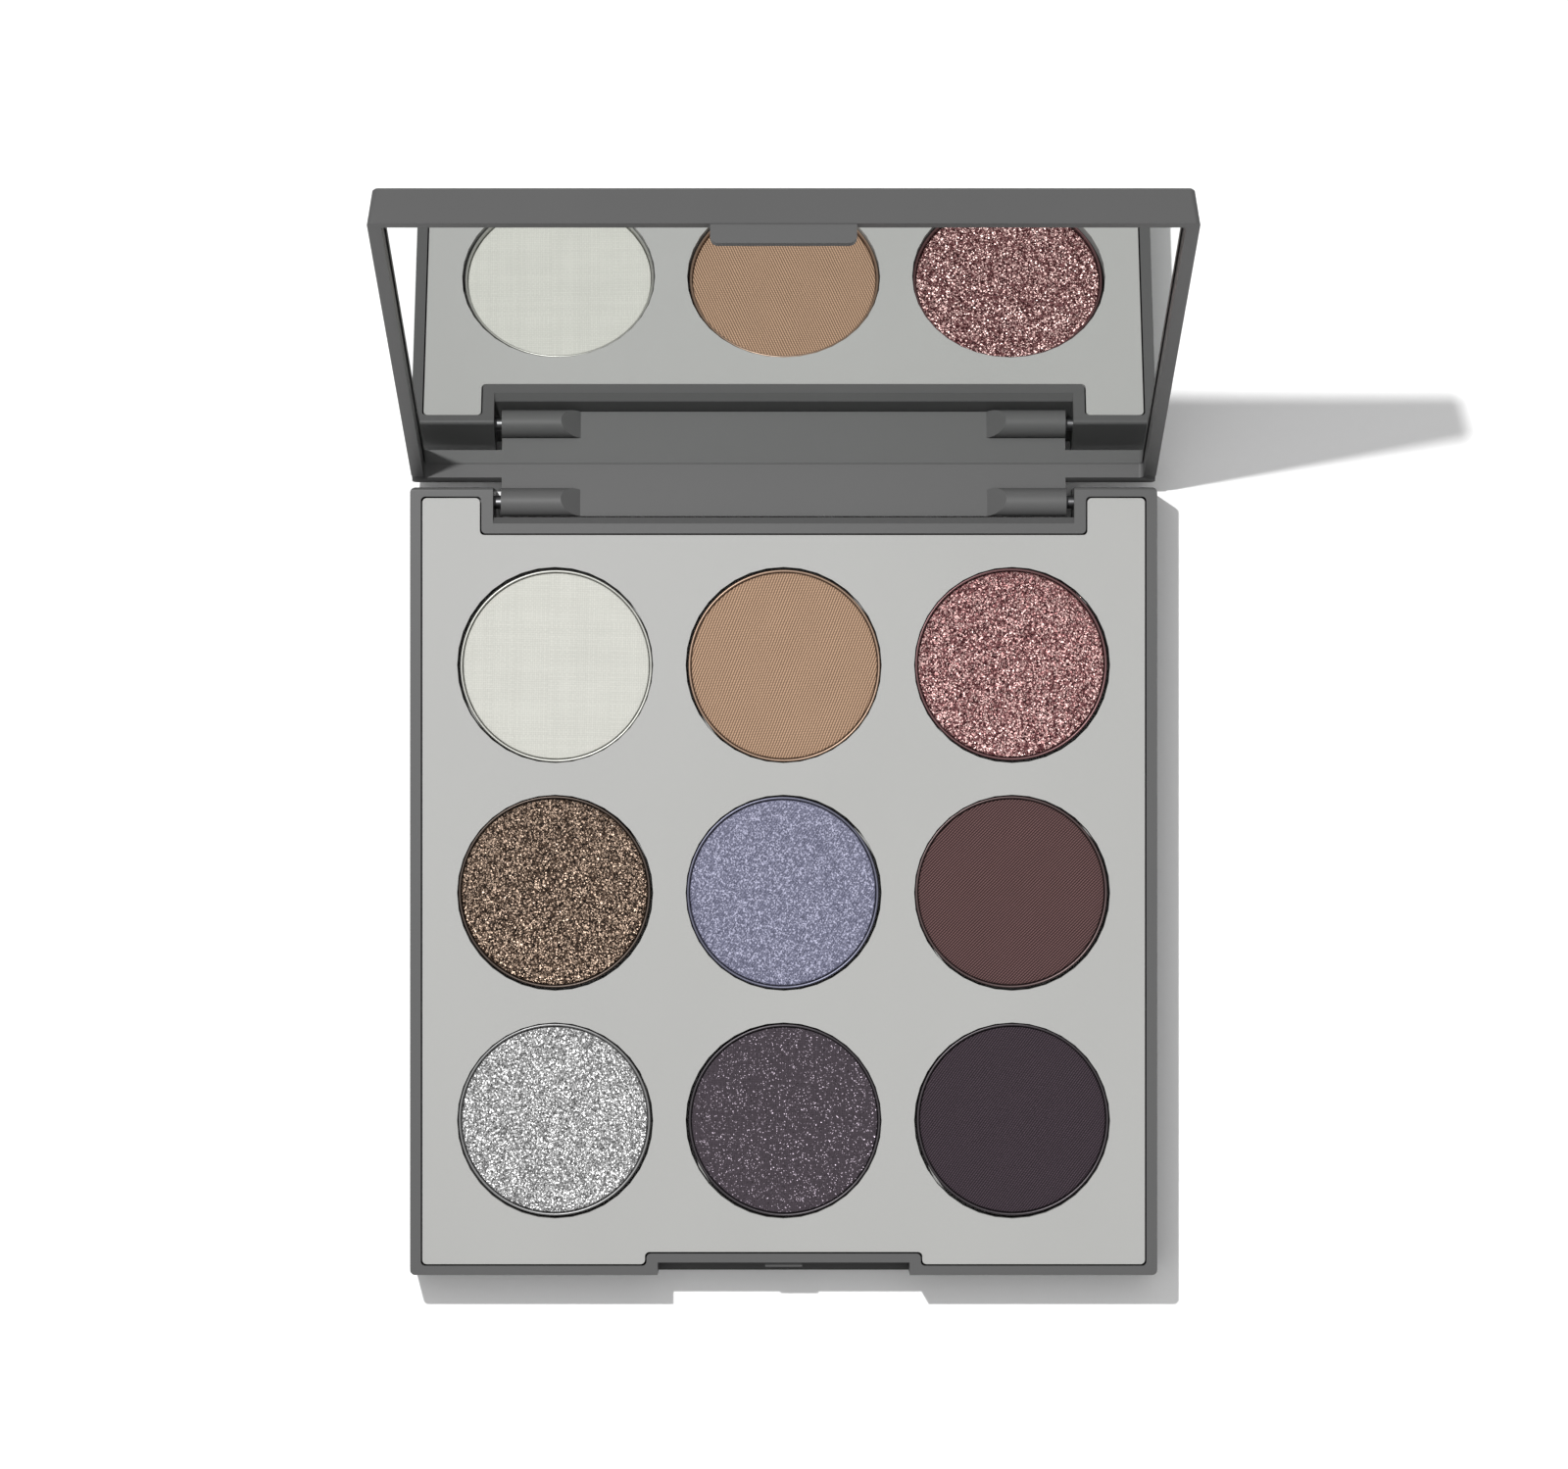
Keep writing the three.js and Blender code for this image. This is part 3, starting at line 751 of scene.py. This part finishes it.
def turned_piece(
    profile: Sequence[tuple[float, float]],
    centre: Vector,
    name: str,
    steps: int,
    crease: float = CREASE,
) -> bpy.types.Object:
    """Spins a profile about a vertical axis.

    Args:
        profile: Radius and height of each point, from axis to axis.
        centre: Where the axis stands, and the height that 0 means.
        name: The piece's name.
        steps: Facets round the circle.
        crease: Angle in degrees past which an edge stays sharp.

    Returns:
        The new object.
    """
    shape = bmesh.new()
    points = [shape.verts.new((radius, 0.0, height)) for radius, height in profile]
    edges = [shape.edges.new(pair) for pair in zip(points, points[1:])]
    bmesh.ops.spin(
        shape,
        geom=points + edges,
        axis=(0.0, 0.0, 1.0),
        cent=(0.0, 0.0, 0.0),
        angle=2.0 * math.pi,
        steps=steps,
        use_merge=True,
    )
    bmesh.ops.remove_doubles(shape, verts=shape.verts, dist=0.001 * MM)
    bmesh.ops.recalc_face_normals(shape, faces=shape.faces)
    bmesh.ops.translate(shape, vec=centre, verts=shape.verts)
    return finish_mesh(shape, name, crease)


def arc(
    centre: tuple[float, float], radius: float, start: float, end: float, steps: int
) -> list[tuple[float, float]]:
    """Points on an arc of a profile.

    Args:
        centre: The arc's middle, as radius and height.
        radius: The arc's radius.
        start: First angle in degrees, from outwards towards up.
        end: Last angle in degrees.
        steps: Number of chords.

    Returns:
        The points, both ends included.
    """
    angles = [math.radians(start + (end - start) * i / steps) for i in range(steps + 1)]
    return [(centre[0] + radius * math.cos(a), centre[1] + radius * math.sin(a)) for a in angles]


def dress(piece: bpy.types.Object, material: bpy.types.Material, slot: str, body: str, *nodes: str) -> None:
    """Gives a new piece its material, its body and the nodes that it stands for.

    Args:
        piece: The piece.
        material: Its material.
        slot: The record's material slot; not used.
        body: The body that it rides on.
        nodes: The frame nodes that it replaces.
    """
    piece.data.materials.clear()
    piece.data.materials.append(material)
    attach(piece, body)
    if nodes:
        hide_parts(*nodes)
    LOG.info("%s: %d faces on %s", piece.name, len(piece.data.polygons), body)


def dress_node(node: bpy.types.Object, material: bpy.types.Material) -> None:
    """Gives a frame node that keeps its own shape a better material.

    Args:
        node: The frame node's object.
        material: Its material.
    """
    for slot in node.material_slots:
        slot.material = material
    LOG.info("%s: kept, with %s", node.name, material.name)


# ---------------------------------------------------------------------------
# Sub-assemblies
# ---------------------------------------------------------------------------


@dataclass
class CaseBase:
    """The case's bottom shell, its hinge pins and the blank label under it.

    Attributes:
        nodes: The frame's node objects.
        case: The case's plastic.
        steel: The pins' steel, painted dark as shade in the hinge gaps.
        paper: The label's paper.
        edge: Rounding of the shell's edges.
    """

    nodes: dict[str, bpy.types.Object]
    case: bpy.types.Material
    steel: bpy.types.Material
    paper: bpy.types.Material
    edge: float = 0.16 * MM

    def build(self) -> None:
        """Builds and dresses the pieces."""
        shell = softened_copy(self.nodes["base_shell"], "case_bottom", self.edge)
        dress(shell, self.case, "case_plastic", "base", "base_shell")
        for side in ("left", "right"):
            node = "hinge_pin_" + side
            pin = softened_copy(self.nodes[node], "steel_" + node, 0.12 * MM, turn=60.0)
            dress(pin, self.steel, "pin_steel", "base", node)
        dress_node(self.nodes["base_label"], self.paper)


@dataclass
class Tray:
    """The pale insert plate with its nine wells.

    Attributes:
        nodes: The frame's node objects.
        plastic: The tray's plastic.
        edge: Rounding of its edges.
    """

    nodes: dict[str, bpy.types.Object]
    plastic: bpy.types.Material
    edge: float = 0.12 * MM

    def build(self) -> None:
        """Builds and dresses the tray."""
        tray = softened_copy(self.nodes["pan_tray"], "tray_insert", self.edge)
        dress(tray, self.plastic, "tray_plastic", "base", "pan_tray")


@dataclass
class PowderCell:
    """One pan with its pressed powder and its adhesive disc.

    Attributes:
        nodes: The frame's node objects.
        number: The pan's number, from the rear left to the front right.
        metal: The pan's metal.
        glue: The adhesive.
        powder: The powder's finish.
        wall: The pan's wall thickness.
        shoulder: Rounding of the powder's edge.
        crown: How far the powder's middle stands above its shoulder.
    """

    nodes: dict[str, bpy.types.Object]
    number: int
    metal: SheetMetal
    glue: bpy.types.Material
    powder: Powder
    wall: float = 0.35 * MM
    shoulder: float = 0.22 * MM
    crown: float = 0.05 * MM

    def build(self) -> None:
        """Builds and dresses the cell."""
        self._pan()
        self._powder()
        dress_node(self.nodes[f"pan_adhesive_{self.number}"], self.glue)

    def _pan(self) -> None:
        """Builds the drawn pan with its rolled rim."""
        node = f"powder_pan_{self.number}"
        low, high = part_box(node)
        radius = (high[0] - low[0]) / 2
        height = high[2] - low[2]
        inner = radius - self.wall
        roll = self.wall / 2
        profile = [(0.0, 0.0)]
        profile += arc((radius - 2 * roll, 2 * roll), 2 * roll, -90, 0, 6)
        profile += arc((radius - roll, height - roll), roll, 0, 180, 10)
        profile += arc((inner - 2 * roll, self.wall + 2 * roll), 2 * roll, 0, -90, 6)
        profile += [(0.0, self.wall)]
        centre = Vector(((low[0] + high[0]) / 2, (low[1] + high[1]) / 2, low[2]))
        pan = turned_piece(profile, centre, f"tin_pan_{self.number}", 128)
        dress(pan, self.metal.powder_tint_and_shade(self.powder).material(), "pan_metal", "base", node)

    def _powder(self) -> None:
        """Builds the pressed powder, whose edge is a little uneven."""
        node = f"pressed_powder_{self.number}"
        low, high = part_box(node)
        radius = (high[0] - low[0]) / 2
        height = high[2] - low[2]
        rounding = self.shoulder
        profile = [(0.0, 0.0), (radius - rounding, 0.0), (radius, rounding)]
        profile += arc((radius - rounding, height - self.crown - rounding), rounding, 0, 90, 5)
        rings = 14
        flat = radius - rounding
        for ring in range(1, rings + 1):
            share = ring / rings
            rise = self.crown * (1.0 - (1.0 - share) ** 2)
            profile.append((flat * (1.0 - share), height - self.crown + rise))
        centre = Vector(((low[0] + high[0]) / 2, (low[1] + high[1]) / 2, low[2]))
        cake = turned_piece(profile, centre, f"powder_cake_{self.number}", 144, 80.0)
        self._roughen(cake, centre, radius)
        dress(cake, self.powder.material(), self.powder.name, "base", node)

    def _roughen(self, cake: bpy.types.Object, centre: Vector, radius: float) -> None:
        """Wears the powder's edge, as handling and pressing leave it.

        Args:
            cake: The powder's object.
            centre: The middle of its underside.
            radius: The powder's radius.
        """
        grain = 900.0
        depth = 0.05 * MM
        worn_from = 0.95
        for vertex in cake.data.vertices:
            out = Vector((vertex.co.x - centre.x, vertex.co.y - centre.y, 0.0))
            share = out.length / radius
            if share > worn_from:
                wear = (share - worn_from) / (1.0 - worn_from)
                bite = depth * (0.5 + 0.5 * noise.noise(vertex.co * grain)) * wear
                vertex.co -= out.normalized() * bite


@dataclass
class Lid:
    """The lid's shell, the mirror in it and the mirror's adhesive sheet.

    Attributes:
        nodes: The frame's node objects.
        case: The case's plastic, in the lid's copy whose grey is painted a little lighter for the light on
            the lid.
        silver: The mirror's silvering.
        glue: The adhesive.
        edge: Rounding of the shell's edges.
        arris: Rounding of the mirror's edges.
    """

    nodes: dict[str, bpy.types.Object]
    case: bpy.types.Material
    silver: bpy.types.Material
    glue: bpy.types.Material
    edge: float = 0.16 * MM
    arris: float = 0.08 * MM

    def build(self) -> None:
        """Builds and dresses the pieces."""
        shell = softened_copy(self.nodes["lid_shell"], "lid_frame", self.edge)
        dress(shell, self.case, "case_plastic", "lid", "lid_shell")
        glass = softened_copy(self.nodes["mirror"], "mirror_glass", self.arris, 2)
        dress(glass, self.silver, "mirror_silver", "lid", "mirror")
        dress_node(self.nodes["mirror_adhesive"], self.glue)


@dataclass(frozen=True)
class Lamp:
    """A lamp of the studio, whose strength doesn't fall off with distance.

    Attributes:
        name: The lamp's name.
        place: Where it hangs.
        aim: What it points at.
        size: Its diameter.
        power: The light that it gives where it points, as a floor's radiance at full shade.
        mirrored: False if shiny surfaces don't show it.
    """

    name: str
    place: tuple[float, float, float]
    aim: tuple[float, float, float]
    size: float
    power: float
    mirrored: bool = True

    def hang(self) -> None:
        """Adds the lamp to the scene."""
        lamp = bpy.data.lights.new(self.name, "AREA")
        lamp.shape = "DISK"
        lamp.size = self.size
        lamp.energy = 1.0
        lamp.use_nodes = True
        graph = Graph(lamp.node_tree)
        emission = next(n for n in lamp.node_tree.nodes if n.type == "EMISSION")
        falloff = graph.add("LightFalloff")
        falloff.inputs["Strength"].default_value = self.power / LAMP_UNIT
        graph.put(falloff.outputs["Constant"], emission.inputs["Strength"])
        light = bpy.data.objects.new(self.name, lamp)
        light.location = self.place
        aim = Vector(self.aim) - Vector(self.place)
        light.rotation_euler = aim.to_track_quat("-Z", "Y").to_euler()
        bpy.context.scene.collection.objects.link(light)
        light.visible_glossy = self.mirrored


@dataclass
class Studio:
    """White floor, lights and camera.

    Attributes:
        eye: The camera's place.
        lens: The camera's focal length in millimetres.
        lamps: The lamps.
        fill: The sky's strength.
        floor_shade: The floor's linear grey.
    """

    eye: tuple[float, float, float] = (0.00005, 0.01983, 0.9374)
    lens: float = 157.34
    lamps: tuple[Lamp, ...] = (
        Lamp("key", (-0.104, 0.157, 0.485), (0.10, -0.17, 0.0), 0.012, 0.77),
        Lamp("softbox", (0.0, 0.04, 0.80), (0.0, 0.0, 0.0), 0.70, 0.22, mirrored=False),
    )
    fill: float = 0.30
    floor_shade: float = 0.92

    def build(self) -> None:
        """Builds the floor, the lights and the camera."""
        self._floor()
        for lamp in self.lamps:
            lamp.hang()
        self._sky()
        self._camera()
        bpy.context.scene.view_settings.view_transform = "Standard"

    def _floor(self) -> None:
        """Lays the floor."""
        shape = bmesh.new()
        bmesh.ops.create_grid(shape, x_segments=4, y_segments=4, size=2.0)
        floor = finish_mesh(shape, "studio_floor")
        material, g, shader, place = blank_material("studio_paper")
        tooth = g.noise(place, 900.0, 3.0)
        low = (self.floor_shade - 0.01,) * 3
        high = (self.floor_shade + 0.01,) * 3
        g.put(g.mix(tooth, low, high), shader.inputs["Base Color"])
        shader.inputs["Roughness"].default_value = 0.9
        shader.inputs["Specular IOR Level"].default_value = 0.0
        floor.data.materials.append(material)

    def _sky(self) -> None:
        """Sets the even white surroundings."""
        world = bpy.data.worlds.new("studio")
        world.use_nodes = True
        back = next(n for n in world.node_tree.nodes if n.type == "BACKGROUND")
        back.inputs["Color"].default_value = (1.0, 1.0, 1.0, 1.0)
        back.inputs["Strength"].default_value = self.fill
        bpy.context.scene.world = world

    def _camera(self) -> None:
        """Sets the camera, which looks straight down."""
        data = bpy.data.cameras.new("camera")
        data.sensor_width = 36.0
        data.lens = self.lens
        data.clip_start = 0.05
        data.clip_end = 20.0
        camera = bpy.data.objects.new("camera", data)
        camera.location = self.eye
        bpy.context.scene.collection.objects.link(camera)
        bpy.context.scene.camera = camera


# ---------------------------------------------------------------------------
# The palette
# ---------------------------------------------------------------------------

CASE_GREY = MouldedPlastic("case_plastic", (0.083, 0.083, 0.083), 0.45)
# The lid is the case's plastic with its grey painted a little lighter, as painted light on the lid.
LID_GREY_PAINTED_LIGHTER = MouldedPlastic("lid_plastic_painted_lighter", (0.092, 0.092, 0.092), 0.48)
TRAY_GREY = MouldedPlastic("tray_plastic", (0.334, 0.334, 0.325), 0.45)
# The pans' metal grey is darker than bare tin, partly as painted shade on the pans' rims.
PAN_METAL = SheetMetal("pan_metal", (0.42, 0.42, 0.415), 0.38, metal=0.7)
# The pins' steel is painted dark grey, as painted shade for the hinge gaps that they sit in.
PIN_STEEL_PAINTED_DARK = SheetMetal("pin_steel", (0.15, 0.15, 0.155), 0.40)
LABEL_PAPER = SoftSheet("label_paper", (0.80, 0.80, 0.79), 0.25 * MM, 0.6)
ADHESIVE = SoftSheet("adhesive", (0.78, 0.74, 0.64), 0.8 * MM, 0.35)

POWDERS: tuple[Powder, ...] = (
    Powder(
        "powder_ivory",
        (0.463, 0.463, 0.426),
        contrast=0.13,
        angle=1.0,
        dustiness=0.08,
    ),
    Powder("powder_tan", (0.310, 0.200, 0.133), Weave.TWILL, contrast=0.62, angle=-3.0, pitch=0.34 * MM),
    FlakedPowder(
        "powder_rose",
        (0.13, 0.045, 0.048),
        stops=(
            (0.0, (0.008, 0.001, 0.0015)),
            (0.40, (0.058, 0.009, 0.012)),
            (0.60, (0.165, 0.052, 0.050)),
            (0.82, (0.79, 0.54, 0.51)),
        ),
        flake=0.15 * MM,
    ),
    FlakedPowder(
        "powder_bronze",
        (0.05, 0.027, 0.015),
        stops=(
            (0.0, (0.002, 0.0009, 0.0005)),
            (0.44, (0.016, 0.008, 0.004)),
            (0.66, (0.085, 0.048, 0.028)),
            (0.84, (0.62, 0.46, 0.345)),
        ),
        flake=0.148 * MM,
    ),
    FlakedPowder(
        "powder_lilac",
        (0.124, 0.126, 0.184),
        Weave.TWILL,
        contrast=0.45,
        angle=8.0,
        pitch=0.32 * MM,
        stops=(
            (0.0, (0.066, 0.068, 0.112)),
            (0.55, (0.113, 0.115, 0.175)),
            (0.85, (0.28, 0.28, 0.375)),
        ),
        flake=0.16 * MM,
        coverage=0.6,
        tilt=0.5,
        gloss=0.5,
        metal=0.2,
    ),
    Powder(
        "powder_plum_brown",
        (0.085, 0.046, 0.0455),
        Weave.TWILL,
        contrast=0.85,
        angle=20.0,
        pitch=0.31 * MM,
    ),
    FlakedPowder(
        "powder_silver",
        (0.25, 0.25, 0.25),
        stops=(
            (0.0, (0.035, 0.035, 0.035)),
            (0.34, (0.14, 0.14, 0.14)),
            (0.6, (0.31, 0.31, 0.31)),
            (0.88, (0.65, 0.65, 0.65)),
        ),
        flake=0.135 * MM,
        coverage=0.9,
    ),
    FlakedPowder(
        "powder_dark_purple",
        (0.034, 0.0255, 0.033),
        Weave.PLAIN,
        contrast=0.35,
        stops=(
            (0.0, (0.02, 0.015, 0.019)),
            (0.5, (0.055, 0.042, 0.052)),
            (0.80, (0.55, 0.47, 0.55)),
        ),
        flake=0.115 * MM,
        coverage=0.13,
        tilt=0.8,
    ),
    Powder(
        "powder_dark_plum",
        (0.0385, 0.0275, 0.0350),
        Weave.TWILL,
        contrast=0.75,
        angle=12.0,
        dustiness=0.7,
    ),
)


def main() -> None:
    """Loads the frame and builds the palette and its studio."""
    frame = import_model()
    nodes = frame["nodes"]
    case = CASE_GREY.material()
    glue = ADHESIVE.material()
    CaseBase(nodes, case, PIN_STEEL_PAINTED_DARK.material(), LABEL_PAPER.material()).build()
    Tray(nodes, TRAY_GREY.material()).build()
    for number, powder in enumerate(POWDERS, start=1):
        PowderCell(nodes, number, PAN_METAL, glue, powder).build()
    Lid(nodes, LID_GREY_PAINTED_LIGHTER.material(), Silvering().material(), glue).build()
    Studio().build()


if __name__ == "__main__":
    logging.basicConfig(level=logging.INFO, format="%(message)s")
    main()
